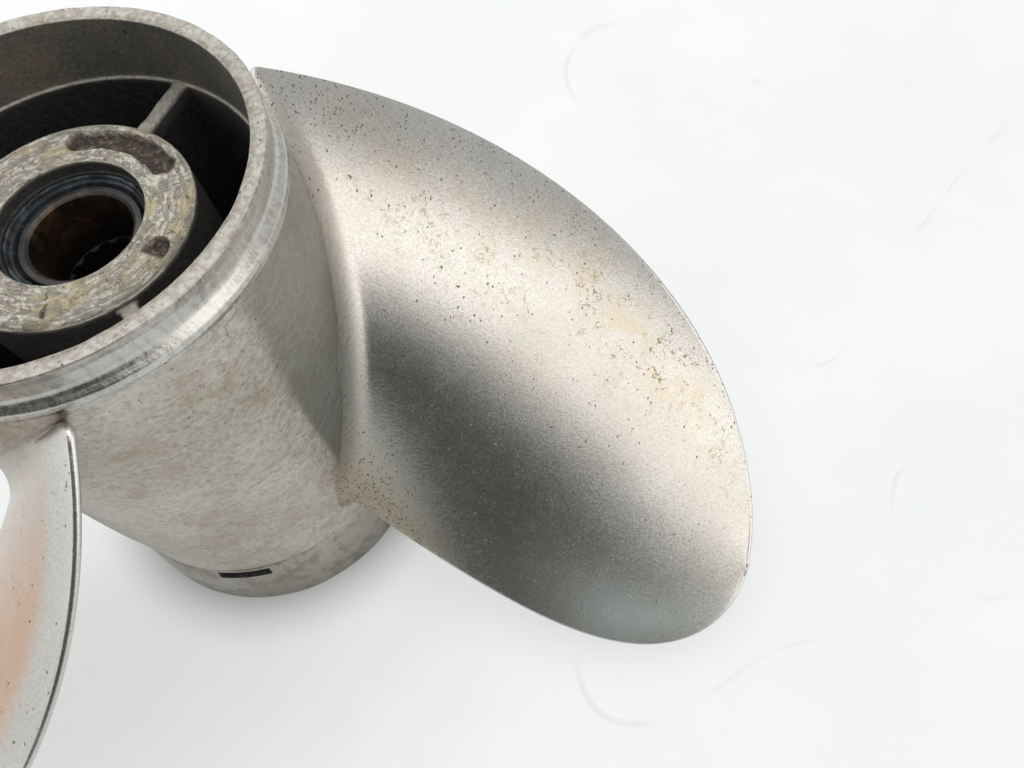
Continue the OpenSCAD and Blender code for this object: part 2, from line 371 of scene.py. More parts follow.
# ---------------------------------------------------------------- materials
def blade_steel():
    """Satin steel with ground grain, scattered dark pits, rust specks, a worn edge and painted reflections.
    """
    n = Nodes("blade_steel")
    pits = n.attribute("pits")
    rust_zone = n.attribute("rust")
    edge = n.attribute("edge")
    tint = n.attribute("tint")
    broad = n.noise(22, 3)
    grain = n.noise(1300, 5, 0.7)
    brushed = n.noise(420, 3, 0.6, where=n.stretched((1, 6, 3), (0, 0, 25)))
    blotch = n.noise(160, 5, 0.65, 0.4)
    colour = n.mix(n.ramp(broad, 0.35, 0.65), (0.50, 0.487, 0.462), (0.57, 0.562, 0.545))
    colour = n.mix(n.ramp(blotch, 0.52, 0.72, 0, 0.10), colour, (0.66, 0.65, 0.62))
    colour = n.mix(n.ramp(blotch, 0.44, 0.3, 0, 0.10), colour, (0.36, 0.35, 0.33))
    colour = n.mix(n.ramp(grain, 0.35, 0.6, 0.42, 0), colour, (0.27, 0.26, 0.245))
    # Painted reflection: a teal band along the trailing edge, out towards the tip
    colour = n.mix(n.times(tint, 0.6), colour, (0.47, 0.56, 0.54))
    # Painted reflection: an orange patch, on the one blade that carries it
    warm = n.times(n.attribute("warm"), n.ramp(broad, 0.3, 0.6, 0.7, 1.0))
    colour = n.mix(warm, colour, (0.50, 0.25, 0.135))
    colour = n.mix(n.times(edge, 0.3), colour, (0.70, 0.70, 0.69))
    root = n.attribute("root")
    streak = n.noise(330, 4, 0.65, 0.3, n.stretched((1.4, 1.4, 4.0), (25, 20, 0)))
    # Painted reflection at the root: the same dark reflection as on the barrel beside it
    shade = n.mix(n.attribute("wake"), (0.43, 0.40, 0.355), (0.20, 0.204, 0.187))
    cast = n.mix(n.ramp(streak, 0.36, 0.6, 0.4, 0), shade, (0.28, 0.25, 0.215))
    colour = n.mix(root, colour, cast)
    speck = n.ramp(n.noise(620, 5, 0.72, 0.9), 0.53, 0.60)
    patch = n.ramp(n.noise(95, 4, 0.65, 0.8), 0.46, 0.58)
    haze = n.times(n.ramp(n.noise(70, 4, 0.6, 0.6), 0.42, 0.66), rust_zone, clamp=True)
    colour = n.mix(n.times(haze, 0.5), colour, (0.50, 0.405, 0.265))
    rust = n.times(n.times(speck, patch), rust_zone, clamp=True)
    rust = n.times(rust, 0.95)
    colour = n.mix(rust, colour, (0.33, 0.22, 0.085))
    colour = n.mix(n.times(pits, 0.3), colour, (0.27, 0.25, 0.21))
    corner = n.attribute("corner")
    colour = n.mix(n.times(corner, 0.8), colour, (0.37, 0.325, 0.235))
    fine = pit_mask(n, 1150, 0.36, n.times(pits, 0.45), (1.5, 0.9, 0.9), (0, 0, 30))
    coarse = pit_mask(n, 640, 0.25, n.times(pits, 0.22), (1, 1.6, 0.8), (0, 0, 40))
    holes = n.most(fine, coarse)
    pocks = pit_mask(n, 830, 0.30, n.times(corner, 0.6), (1.1, 0.8, 1.3), (10, 0, 20))
    pricks = pit_mask(n, 1500, 0.30, n.times(corner, 0.6), (1.1, 0.8, 1.3), (10, 0, 20))
    holes = n.most(holes, n.most(pocks, pricks))
    colour = n.mix(n.times(holes, 0.85), colour, (0.050, 0.039, 0.026))
    roughness = n.math("ADD", n.ramp(blotch, 0.3, 0.7, 0.195, 0.225), n.ramp(grain, 0.3, 0.7, 0.0, 0.06))
    roughness = n.blend(root, roughness, 0.4)
    roughness = n.blend(n.times(corner, 0.8), roughness, 0.42)
    roughness = n.blend(n.most(holes, rust), roughness, 0.75)
    normal = n.relief(n.times(streak, root), 0.0003)
    normal = n.relief(grain, 0.000035, normal)
    normal = n.relief(brushed, 0.00003, normal)
    normal = n.relief(n.noise(60, 3), 0.00005, normal)
    normal = n.relief(n.inverse(holes), 0.00004, normal)
    metal = n.inverse(n.times(n.most(holes, rust), 0.8))
    metal = n.math("SUBTRACT", metal, n.times(tint, 0.38))
    return n.finish(colour, roughness, metal, normal)


def cast_steel():
    """Blasted cast steel: sandy relief, warm stains and a painted dark reflection outside, exhaust soot
    inside and painted shade, near black, deeper in the passage.
    """
    n = Nodes("cast_steel")
    soot = n.attribute("soot")
    deep = n.attribute("deep")
    wake = n.attribute("wake")
    plain = n.attribute("plain")
    broad = n.noise(26, 4)
    sand = n.noise(760, 5, 0.72)
    lumps = n.noise(260, 4, 0.62, 0.2)
    streak = n.noise(300, 4, 0.62, 0.3, n.stretched((1.2, 1.2, 2.0), (25, 20, 0)))
    stain = n.ramp(n.noise(70, 5, 0.65, 0.7), 0.50, 0.70)
    rough_cast = n.inverse(n.times(plain, 0.6))
    colour = n.mix(n.ramp(broad, 0.38, 0.62), (0.44, 0.405, 0.35), (0.56, 0.535, 0.485))
    furrows = n.times(n.ramp(streak, 0.36, 0.56, 0.4, 0), rough_cast)
    colour = n.mix(furrows, colour, (0.27, 0.24, 0.20))
    glints = n.times(n.ramp(sand, 0.5, 0.64, 0, 0.42), rough_cast)
    colour = n.mix(glints, colour, (0.62, 0.595, 0.55))
    hollows = n.times(n.ramp(sand, 0.46, 0.34, 0, 0.5), rough_cast)
    colour = n.mix(hollows, colour, (0.20, 0.175, 0.145))
    stained = n.times(stain, n.times(rough_cast, 0.42))
    colour = n.mix(stained, colour, (0.32, 0.235, 0.155))
    colour = n.mix(n.times(plain, 0.6), colour, (0.275, 0.262, 0.23))
    smear = n.times(n.ramp(n.noise(130, 5, 0.7, 0.1), 0.44, 0.62), plain)
    colour = n.mix(n.times(smear, 0.6), colour, (0.185, 0.155, 0.12))
    # Painted reflection: the dark reflection beside each blade's root
    colour = n.mix(n.times(wake, 0.85), colour, (0.17, 0.176, 0.16))
    holes = pit_mask(n, 800, 0.22, n.times(rough_cast, 0.10), (1, 1, 1.4))
    colour = n.mix(n.times(holes, 0.75), colour, (0.09, 0.075, 0.055))
    wall = sooty_wall(n)
    # Painted shade: near black where the passage goes deep
    black = n.mix(n.ramp(sand, 0.4, 0.7), (0.012, 0.012, 0.014), (0.040, 0.039, 0.040))
    inside = n.mix(deep, wall, black)
    colour = n.mix(soot, colour, inside)
    roughness = n.math("ADD", n.ramp(streak, 0.3, 0.7, 0.36, 0.46), n.times(soot, 0.32))
    metal = n.inverse(n.times(soot, 0.75))
    metal = n.times(metal, n.ramp(holes, 0, 1, 1, 0.3))
    normal = n.relief(n.times(sand, rough_cast), 0.00022)
    normal = n.relief(n.times(streak, rough_cast), 0.00016, normal)
    normal = n.relief(n.times(lumps, rough_cast), 0.00030, normal)
    normal = n.relief(n.inverse(holes), 0.0002, normal)
    return n.finish(colour, roughness, metal, normal)


def polished_steel():
    """Bright collar with fine streaks across its lip and a tan, worn rim."""
    n = Nodes("polished_steel")
    worn = n.attribute("worn")
    soot = n.attribute("soot")
    streak = n.noise(420, 4, 0.6, 0.2, n.stretched((1.6, 1.6, 0.45), (22, 18, 0)))
    grain = n.noise(1500, 4, 0.68)
    broad = n.noise(35, 4)
    colour = n.mix(n.ramp(broad, 0.35, 0.65), (0.46, 0.445, 0.415), (0.56, 0.552, 0.53))
    colour = n.mix(n.ramp(streak, 0.35, 0.58, 0.4, 0), colour, (0.27, 0.24, 0.205))
    colour = n.mix(n.ramp(grain, 0.35, 0.6, 0.16, 0), colour, (0.30, 0.28, 0.25))
    tan = n.times(n.ramp(n.noise(330, 5, 0.75, 0.5), 0.46, 0.60), worn)
    film = n.mix(n.ramp(streak, 0.40, 0.60), (0.165, 0.15, 0.12), (0.33, 0.315, 0.275))
    colour = n.mix(n.times(worn, 0.8), colour, film)
    colour = n.mix(n.times(tan, 0.6), colour, (0.23, 0.175, 0.115))
    crumbs = n.times(n.ramp(n.noise(900, 4, 0.7, 0.5), 0.56, 0.64), worn)
    colour = n.mix(n.times(crumbs, 0.8), colour, (0.16, 0.11, 0.07))
    holes = pit_mask(n, 800, 0.2, n.math("ADD", n.times(worn, 0.2), 0.04))
    colour = n.mix(n.times(holes, 0.8), colour, (0.05, 0.04, 0.03))
    wall = sooty_wall(n)
    colour = n.mix(soot, colour, wall)
    roughness = n.math("ADD", n.ramp(streak, 0.3, 0.7, 0.22, 0.33), n.times(worn, 0.2))
    roughness = n.blend(soot, roughness, 0.72)
    dull = n.most(n.most(soot, tan), n.times(worn, 0.45))
    metal = n.inverse(n.times(dull, 0.75))
    normal = n.relief(grain, 0.00004)
    normal = n.relief(streak, 0.00010, normal)
    normal = n.relief(n.inverse(holes), 0.0002, normal)
    return n.finish(colour, roughness, metal, normal)


def hub_steel():
    """Cast steel under pale scale, with crusty brown pocket floors, and soot with painted shade, near black,
    on the sides and in the bore.
    """
    n = Nodes("hub_steel")
    crust = n.attribute("crust")
    pocket = n.attribute("pocket")
    soot = n.attribute("soot")
    rim = n.attribute("rim")
    turned = n.noise(75, 5, 0.65, 0.3, n.attribute_vector("turned"))
    flakes = n.noise(420, 6, 0.72, 0.5)
    chips = n.noise(900, 5, 0.72, 0.4)
    gold = n.ramp(n.noise(120, 4, 0.6, 0.6), 0.50, 0.64)
    metal_colour = n.mix(n.ramp(flakes, 0.4, 0.65), (0.33, 0.31, 0.265), (0.50, 0.48, 0.43))
    scale = n.mix(n.ramp(turned, 0.40, 0.6), (0.20, 0.178, 0.14), (0.63, 0.60, 0.53))
    scale = n.mix(n.ramp(chips, 0.40, 0.52, 0.75, 0), scale, (0.22, 0.20, 0.16))
    scale = n.mix(n.ramp(chips, 0.55, 0.64, 0, 0.8), scale, (0.80, 0.76, 0.67))
    scale = n.mix(n.times(gold, 0.6), scale, (0.47, 0.36, 0.175))
    scale = n.mix(n.ramp(n.noise(190, 4, 0.65, 0.5), 0.50, 0.36, 0, 0.5), scale, (0.20, 0.175, 0.13))
    bare = n.ramp(n.math("ADD", turned, n.times(flakes, 0.5)), 0.60, 0.72)
    cover = n.times(crust, bare, clamp=True)
    colour = n.mix(cover, metal_colour, scale)
    crack = n.times(n.ramp(n.noise(460, 6, 0.75, 0.9), 0.555, 0.61), crust)
    colour = n.mix(n.times(crack, 0.75), colour, (0.10, 0.08, 0.055))
    chipped = n.times(n.ramp(n.noise(240, 5, 0.7, 0.6), 0.38, 0.52), rim)
    colour = n.mix(n.times(chipped, 0.85), colour, (0.10, 0.085, 0.065))
    floor = n.mix(n.ramp(chips, 0.42, 0.62), (0.030, 0.024, 0.019), (0.105, 0.080, 0.060))
    floor = n.mix(n.ramp(n.noise(900, 3, 0.7), 0.61, 0.68, 0, 0.7), floor, (0.40, 0.31, 0.19))
    colour = n.mix(pocket, colour, floor)
    # Soot and painted shade: near black on the hub's side, in its bore and down the webs' sides
    black = n.mix(n.ramp(chips, 0.4, 0.7), (0.012, 0.012, 0.013), (0.05, 0.048, 0.044))
    colour = n.mix(soot, colour, black)
    roughness = n.math("ADD", n.ramp(flakes, 0.3, 0.7, 0.5, 0.62), n.times(soot, 0.15))
    dull = n.most(n.most(cover, pocket), n.most(soot, chipped))
    metal = n.inverse(n.times(dull, 0.85))
    normal = n.relief(turned, 0.0009)
    normal = n.relief(flakes, 0.00055, normal)
    normal = n.relief(chips, 0.00018, normal)
    return n.finish(colour, roughness, metal, normal)


def rubber():
    """Old rubber, blue-black, with fine rings and pale dust in them."""
    n = Nodes("rubber")
    ring = n.attribute("ring")
    grit = n.noise(1300, 5, 0.7)
    patch = n.noise(220, 4, 0.6, 0.5)
    dust = n.times(n.ramp(grit, 0.52, 0.64), n.ramp(patch, 0.45, 0.62))
    colour = n.mix(n.ramp(patch, 0.35, 0.65), (0.008, 0.010, 0.013), (0.022, 0.027, 0.033))
    colour = n.mix(n.times(dust, 0.5), colour, (0.17, 0.185, 0.20))
    colour = n.mix(n.times(ring, n.ramp(patch, 0.40, 0.6, 0.0, 0.42)), colour, (0.12, 0.14, 0.155))
    normal = n.relief(grit, 0.00016)
    n.shader.inputs["Specular IOR Level"].default_value = 0.3
    return n.finish(colour, n.ramp(grit, 0.3, 0.7, 0.55, 0.8), 0.0, normal)


def sleeve_metal():
    """Turned sleeve: a smooth grey end ring and a dark, gold-brown bore, with painted shade deeper in it."""
    n = Nodes("sleeve_metal")
    bore = n.attribute("bore")
    turned = n.noise(1500, 3, 0.6)
    stain = n.noise(130, 5, 0.7, 0.8)
    face = n.mix(n.ramp(stain, 0.4, 0.65), (0.040, 0.040, 0.040), (0.068, 0.067, 0.066))
    deep = n.mix(n.ramp(stain, 0.42, 0.64), (0.022, 0.014, 0.010), (0.085, 0.048, 0.022))
    deep = n.mix(n.ramp(n.noise(500, 4, 0.7), 0.58, 0.68, 0, 0.5), deep, (0.20, 0.135, 0.065))
    # Painted shade: darker further into the bore
    deep = n.mix(n.attribute("far"), deep, (0.012, 0.009, 0.007))
    colour = n.mix(bore, face, deep)
    roughness = n.blend(bore, n.ramp(turned, 0.3, 0.7, 0.36, 0.46), 0.55)
    normal = n.relief(turned, 0.00003)
    normal = n.relief(n.times(stain, bore), 0.0003, normal)
    return n.finish(colour, roughness, n.blend(bore, 0.85, 0.55), normal)


# ---------------------------------------------------------------- revolved pieces
def collar_piece():
    """Lip with a worn rim, a hollow below it and a rounded bead."""
    bead_top = COLLAR_Z + 4.3 * MM
    bead_out = LIP_R + 1.6 * MM
    profile = rounded_profile([
        (MOUTH_R, COLLAR_Z, 0.03 * MM),
        (MOUTH_R + 2.6 * MM, COLLAR_Z, 0),
        (BARREL_R - 0.1 * MM, COLLAR_Z, 0),
        (BARREL_R - 0.02 * MM, COLLAR_Z + 0.5 * MM, 0.3 * MM),
        (bead_out, COLLAR_Z + 1.5 * MM, 1.0 * MM),
        (bead_out - 0.15 * MM, bead_top - 1.2 * MM, 1.2 * MM),
        (LIP_R - 0.5 * MM, bead_top + 0.6 * MM, 2.4 * MM),
        (LIP_R - 0.25 * MM, RIM_Z - 3.2 * MM, 3 * MM),
        (LIP_R + 0.45 * MM, RIM_Z - 0.5 * MM, 0.4 * MM),
        (LIP_R + 0.05 * MM, RIM_Z, 0.4 * MM),
        (MOUTH_R + 1.9 * MM, RIM_Z - 0.12 * MM, 1.2 * MM),
        (MOUTH_R, RIM_Z - 0.6 * MM, 0.4 * MM),
    ], 0.5 * MM)
    points = revolve(profile, 720)
    r, z = profile[:, :1], profile[:, 1:]
    rim = smooth((z - RIM_Z + 3 * MM) / (2 * MM))
    amount = ripples(points, 22 * MM, 11) * 0.05 * MM
    amount += ripples(points, 5 * MM, 12) * 0.035 * MM * (0.4 + rim)
    outside = smooth((r - MOUTH_R - 0.3 * MM) / (1.5 * MM))
    points = push(points, profile, (np.minimum(amount, 0.02 * MM) - 0.03 * MM) * np.maximum(rim, outside))
    ones = np.ones(points.shape[:2])
    inner = smooth((MOUTH_R + 0.5 * MM - r) / (0.5 * MM))
    top = smooth((z - RIM_Z + 1.0 * MM) / (0.6 * MM))
    near_edge = np.maximum(bump(r, MOUTH_R + 0.6 * MM, 1.2 * MM), 0.62) * top
    return make_object("collar_surface", points.reshape(-1, 3), loop_faces(len(profile), 720, True), {
        "worn": ones * near_edge, "soot": ones * inner * smooth((RIM_Z - 0.3 * MM - z) / (0.7 * MM)),
    })


def barrel_piece():
    """Barrel tube with its counterbore ledge and sooty passage, which painted shade turns near black deeper
    down.
    """
    taper_z = RIM_Z - 81 * MM
    profile = rounded_profile([
        (PASSAGE_R, SPIGOT_Z, 0.3 * MM),
        (SPIGOT_R, SPIGOT_Z, 0.3 * MM),
        (SPIGOT_R, SEAM_Z, 0),
        (AFT_BARREL_R - 0.35 * MM, SEAM_Z, 0.2 * MM),
        (AFT_BARREL_R, SEAM_Z + 1.2 * MM, 1.5 * MM),
        (BARREL_R - 0.25 * MM, (SEAM_Z + taper_z) / 2, 60 * MM),
        (BARREL_R - 0.05 * MM, taper_z, 60 * MM),
        (BARREL_R - 0.15 * MM, COLLAR_Z + 0.02 * MM, 0.1 * MM),
        (MOUTH_R, COLLAR_Z + 0.02 * MM, 0.03 * MM),
        (MOUTH_R, WEB_TOP_Z, 0.1 * MM),
        (PASSAGE_R + 0.3 * MM, WEB_TOP_Z - 0.05 * MM, 0.15 * MM),
        (PASSAGE_R, WEB_TOP_Z - 0.5 * MM, 0.3 * MM),
    ], 1.2 * MM)
    points = revolve(profile, 540)
    r, z = profile[:, :1], profile[:, 1:]
    outside = smooth((r - MOUTH_R - 2 * MM) / (2 * MM))
    amount = (ripples(points, 38 * MM, 21) * 0.09 - 0.12) * MM * outside
    points = push(points, profile, amount)
    ones = np.ones(points.shape[:2])
    inside = smooth((SPIGOT_R + 0.4 * MM - r) / (0.8 * MM))
    ledge = bump(r, PASSAGE_R + 0.3 * MM, 0.35 * MM) * bump(z, WEB_TOP_Z - 0.1 * MM, 0.4 * MM)
    azimuth = np.degrees(np.arctan2(points[..., 1], points[..., 0]))
    # Painted shade: the passage goes near black below the web tops, and half as dark just below them between
    # 5 and 64 degrees
    shade_halved = smooth((azimuth - 5) / 25) * (1 - smooth((azimuth - 64) / 4))
    shade_halved = shade_halved * np.exp(-np.abs(WEB_TOP_Z - z) / (4 * MM))
    deep = smooth((WEB_TOP_Z - 0.3 * MM - z) / (0.4 * MM)) * (1 - 0.5 * shade_halved)
    # Stands in for the dark reflection beside each blade's root: the real room is not known
    past_trail = (azimuth + 34 + STEP / 2) % STEP - STEP / 2
    start_width = 2.4 + 5 * smooth((z + 45 * MM) / (50 * MM))
    wake = smooth(past_trail / start_width) * (1 - smooth((past_trail - 30) / 28))
    wake = wake * (0.72 + 0.28 * smooth(-z / (60 * MM)))
    return make_object("barrel_surface", points.reshape(-1, 3), loop_faces(len(profile), 540, True), {
        "soot": ones * inside * (1 - 0.85 * ledge), "deep": ones * deep * inside,
        "wake": wake * outside, "plain": 0 * ones,
    })


def diffuser_piece():
    """Flared ring with three slots cut right through its wall."""
    cols = 720
    low, high = SLOT_MID_Z - SLOT_H / 2, SLOT_MID_Z + SLOT_H / 2
    height = SEAM_Z - AFT_Z
    outer = np.array([
        [AFT_BARREL_R - 0.3 * MM, SEAM_Z - 0.02 * MM],
        [AFT_BARREL_R - 0.05 * MM, SEAM_Z - 0.5 * MM],
        [DIFFUSER_R - 2.55 * MM, AFT_Z + height * 0.94],
        [DIFFUSER_R - 1.75 * MM, AFT_Z + height * 0.78],
        [DIFFUSER_R - 0.95 * MM, AFT_Z + height * 0.55],
        [DIFFUSER_R - 0.35 * MM, AFT_Z + height * 0.22],
        [DIFFUSER_R - 0.1 * MM, AFT_Z + 0.9 * MM],
        [DIFFUSER_R - 0.6 * MM, AFT_Z],
    ])
    inner = np.array([
        [DIFFUSER_R - 2.6 * MM, AFT_Z],
        [DIFFUSER_R - 3.0 * MM, AFT_Z + 0.6 * MM],
        [PASSAGE_R + 1.0 * MM, SPIGOT_Z],
        [SPIGOT_R, SPIGOT_Z],
        [SPIGOT_R, SEAM_Z - 0.02 * MM],
    ])
    slot_rows = 5
    rows_above = 8
    rows_below = 18
    heights = np.concatenate([
        np.linspace(SEAM_Z - 0.02 * MM, high + 0.1 * MM, rows_above),
        np.linspace(high, low, slot_rows),
        np.linspace(low - 0.1 * MM, AFT_Z + 0.9 * MM, 19),
    ])
    down = np.stack([np.interp(-heights, -outer[:-1, 1], outer[:-1, 0]), heights], 1)
    ups = np.concatenate([
        np.linspace(AFT_Z + 0.6 * MM, low, rows_below)[:-1],
        np.linspace(low, high, slot_rows),
    ])
    ups = ups[ups < SPIGOT_Z - 0.001 * MM] if high > SPIGOT_Z else ups
    up = np.stack([np.interp(ups, inner[1:3, 1], inner[1:3, 0]), ups], 1)
    foot = np.array([outer[-1], inner[0]])
    top = inner[2:]
    profile = np.concatenate([down, foot, up, top])
    rows = len(profile)
    points = revolve(profile, cols)
    amount = (ripples(points, 30 * MM, 31) * 0.06 - 0.08) * MM
    amount[len(down):] *= 0
    points = push(points, profile, amount)
    verts = points.reshape(-1, 3)
    out0 = rows_above
    in0 = len(down) + len(foot) + rows_below - 1
    half = int(round(math.degrees(SLOT_HALF_W / BARREL_R) * cols / 360))
    faces = loop_faces(rows, cols, True)
    gone = set()
    bridges = []
    for k in range(BLADES):
        mid = int(round((SLOT_AZ + k * STEP) * cols / 360))
        columns = range(mid - half, mid + half)
        for j in columns:
            for i in range(slot_rows - 1):
                gone.add((out0 + i, j % cols))
                gone.add((in0 + i, j % cols))
            for row_out, row_in in ((out0, in0 + slot_rows - 1), (out0 + slot_rows - 1, in0)):
                quad = [row_out * cols + j % cols, row_out * cols + (j + 1) % cols,
                        row_in * cols + (j + 1) % cols, row_in * cols + j % cols]
                bridges.append(quad if row_out == out0 else quad[::-1])
        for i in range(slot_rows - 1):
            o, q = out0 + i, in0 + slot_rows - 1 - i
            for j in (mid - half, mid + half):
                quad = [o * cols + j % cols, (o + 1) * cols + j % cols,
                        (q - 1) * cols + j % cols, q * cols + j % cols]
                bridges.append(quad[::-1] if j == mid - half else quad)
    kept = [f for n, f in enumerate(faces) if (n // cols, n % cols) not in gone]
    ones = np.ones(points.shape[:2])
    # Soot, with near black painted shade, on the ring's inside
    inside = np.zeros((rows, 1))
    inside[len(down) + 1:] = 1
    soot_and_shade = ones * inside
    # Painted shade: the walls of each slot are near black as well
    for k in range(BLADES):
        mid = int(round((SLOT_AZ + k * STEP) * cols / 360))
        for j in range(mid - half, mid + half + 1):
            soot_and_shade[out0:out0 + slot_rows, j % cols] = 1
    return make_object("diffuser_surface", verts, kept + bridges, {
        "soot": soot_and_shade, "deep": soot_and_shade, "wake": 0 * ones, "plain": ones,
    })


def hub_piece():
    """Inner hub: a scaled forward face with three kidney-shaped pockets."""
    cols = 1080
    profile = rounded_profile([
        (HUB_STEP_R, CUSHION_TOP_Z, 0.2 * MM),
        (CUSHION_R + 0.02 * MM, CUSHION_TOP_Z, 0.3 * MM),
        (CUSHION_R + 0.02 * MM, HUB_AFT_Z + 1.5 * MM, 0),
        (CUSHION_R + 1.5 * MM, HUB_AFT_Z, 0.3 * MM),
        (HUB_R - 0.1 * MM, HUB_AFT_Z, 0.8 * MM),
        (HUB_R - 0.1 * MM, HUB_FACE_Z - 8 * MM, 0),
        (HUB_R - 0.1 * MM, HUB_FACE_Z - 0.05 * MM, 0.9 * MM),
        (HUB_MOUTH_R, HUB_FACE_Z - 0.05 * MM, 0.7 * MM),
        (HUB_MOUTH_R, HUB_FACE_Z - HUB_SEAT_DEPTH, 0.2 * MM),
        (HUB_STEP_R, HUB_FACE_Z - HUB_SEAT_DEPTH, 0.2 * MM),
    ], 6 * MM)
    fine = []
    for p, q in zip(profile, np.roll(profile, -1, 0)):
        on_face = min(p[1], q[1]) > HUB_FACE_Z - 8.1 * MM
        count = max(1, int(np.linalg.norm(q - p) / (0.22 * MM))) if on_face else 1
        fine += [p + (q - p) * k / count for k in range(count)]
    profile = np.array(fine)
    points = revolve(profile, cols)
    r, z = profile[:, :1], profile[:, 1:]
    face = smooth((z - HUB_FACE_Z + 0.5 * MM) / (0.35 * MM))
    azimuth = np.degrees(np.arctan2(points[..., 1], points[..., 0]))
    reach = np.full(points.shape[:2], 1.0)
    for k in range(BLADES):
        off = np.abs((azimuth - WEB_AZ - k * STEP + 180) % 360 - 180)
        past = np.radians(np.maximum(off - POCKET_REACH, 0))
        gap = np.hypot(r * np.cos(past) - POCKET_R, r * np.sin(past)) - POCKET_HALF_W
        reach = np.minimum(reach, gap)
    reach = reach + ripples(points, 4 * MM, 41) * 0.10 * MM
    # Old grease and scale fill most of the pocket behind the lowest web
    filled = smooth((-22 - azimuth) / 5) * (1 - smooth((-85 - azimuth) / 5))
    floor = smooth((0.12 * MM - reach) / (0.24 * MM)) * face * (1 - 0.93 * filled)
    amount = (ripples(points, 9 * MM, 42) * 0.10 + ripples(points, 2.6 * MM, 43) * 0.07 - 0.22) * MM * face
    for groove in (28.0 * MM, 20.4 * MM):
        amount -= bump(r, groove, 0.2 * MM) * 0.14 * MM * face * smooth(0.6 + ripples(points, 14 * MM, 45))
    points = push(points, profile, amount)
    rough_floor = ripples(points, 2.2 * MM, 44) * 0.18 * MM
    points[..., 2] -= floor * (POCKET_DEPTH - 0.9 * MM + rough_floor)
    # Soot and painted shade, near black, down the hub's side and in its bore
    side = smooth((r - HUB_R + 1.2 * MM) / (1.0 * MM)) * smooth((HUB_FACE_Z - 0.4 * MM - z) / (1.5 * MM))
    bore = smooth((HUB_MOUTH_R + 0.15 * MM - r) / (0.15 * MM))
    bore = bore * smooth((HUB_FACE_Z - 0.6 * MM - z) / (0.8 * MM))
    ones = np.ones(points.shape[:2])
    angle = np.radians(azimuth)
    turned = np.stack([r * ones * 14, 0.07 * np.cos(angle), 0.07 * np.sin(angle)], -1)
    outer = bump(r, HUB_R - 0.7 * MM, 1.3 * MM) * bump((azimuth + 70 + 180) % 360 - 180, 0, 75)
    return make_object("hub_surface", points.reshape(-1, 3), loop_faces(len(profile), cols, True), {
        "crust": ones * face, "pocket": floor, "soot": ones * np.maximum(side * 0.9, bore * 0.95),
        "turned": turned, "rim": outer * face,
    })


def cushion_piece():
    """Rubber nose with two shallow grooves round the sleeve."""
    inner = SLEEVE_R + 0.05 * MM
    profile = rounded_profile([
        (inner, CUSHION_AFT_Z, 0.3 * MM),
        (CUSHION_R, CUSHION_AFT_Z, 0.8 * MM),
        (CUSHION_R, CUSHION_TOP_Z - 0.02 * MM, 0.5 * MM),
        (CUSHION_NOSE_R, CUSHION_TOP_Z - 0.02 * MM, 0),
        (CUSHION_NOSE_R, CUSHION_NOSE_Z, 0.5 * MM),
        (CUSHION_NOSE_R - 0.9 * MM, CUSHION_NOSE_Z, 0.3 * MM),
        (CUSHION_NOSE_R - 1.1 * MM, CUSHION_NOSE_Z - 1.0 * MM, 0.3 * MM),
        (inner + 0.6 * MM, CUSHION_NOSE_Z - 1.2 * MM, 0.3 * MM),
        (inner + 0.35 * MM, CUSHION_NOSE_Z - 2.6 * MM, 0.2 * MM),
        (inner, CUSHION_NOSE_Z - 3.2 * MM, 0.1 * MM),
    ], 0.35 * MM)
    points = revolve(profile, 360)
    nose = smooth((profile[:, 1:] - CUSHION_NOSE_Z + 3 * MM) / (1 * MM))
    amount = -np.abs(ripples(points, 3 * MM, 51)) * 0.10 * MM * nose
    points = push(points, profile, amount)
    ones = np.ones(points.shape[:2])
    ring = bump(profile[:, :1], CUSHION_NOSE_R - 0.5 * MM, 0.5 * MM) * nose
    return make_object("cushion_surface", points.reshape(-1, 3), loop_faces(len(profile), 360, True), {
        "ring": ones * ring,
    })


def sleeve_piece():
    """Sleeve with a plain pilot bore at its mouth and splines behind it."""
    per_tooth = 24
    cols = SPLINES * per_tooth
    outside = rounded_profile([
        (SPLINE_ROOT_R, SLEEVE_AFT_Z, 0.3 * MM),
        (SLEEVE_R, SLEEVE_AFT_Z, 0.6 * MM),
        (SLEEVE_R, SLEEVE_TOP_Z, 0.5 * MM),
        (PILOT_R + 0.8 * MM, SLEEVE_TOP_Z, 0.2 * MM),
        (PILOT_R, SLEEVE_TOP_Z - 0.8 * MM, 0.2 * MM),
        (PILOT_R, -PILOT_LEN, 0),
        (SPLINE_ROOT_R, -PILOT_LEN, 0),
    ], 1.5 * MM)
    points = revolve(outside, cols)
    r, z = outside[:, :1], outside[:, 1:]
    phase = (np.arange(cols) % per_tooth) / per_tooth
    tooth = smooth((0.27 - np.abs(phase - 0.5)) / 0.05)
    splined = (r < SPLINE_ROOT_R + 0.02 * MM) & (z < -PILOT_LEN + 0.01 * MM)
    shrink = 1 - splined * tooth * (SPLINE_ROOT_R - SPLINE_TIP_R) / SPLINE_ROOT_R
    points[..., :2] *= shrink[..., None]
    ones = np.ones(points.shape[:2])
    bore = smooth((PILOT_R + 0.7 * MM - r) / (0.4 * MM)) * smooth((SLEEVE_TOP_Z - z) / (0.5 * MM))
    return make_object("sleeve_surface", points.reshape(-1, 3), loop_faces(len(outside), cols, True), {
        # Painted shade, growing from 5 mm down the bore
        "bore": ones * bore, "far": ones * smooth((-z - 5 * MM) / (9 * MM)),
    })


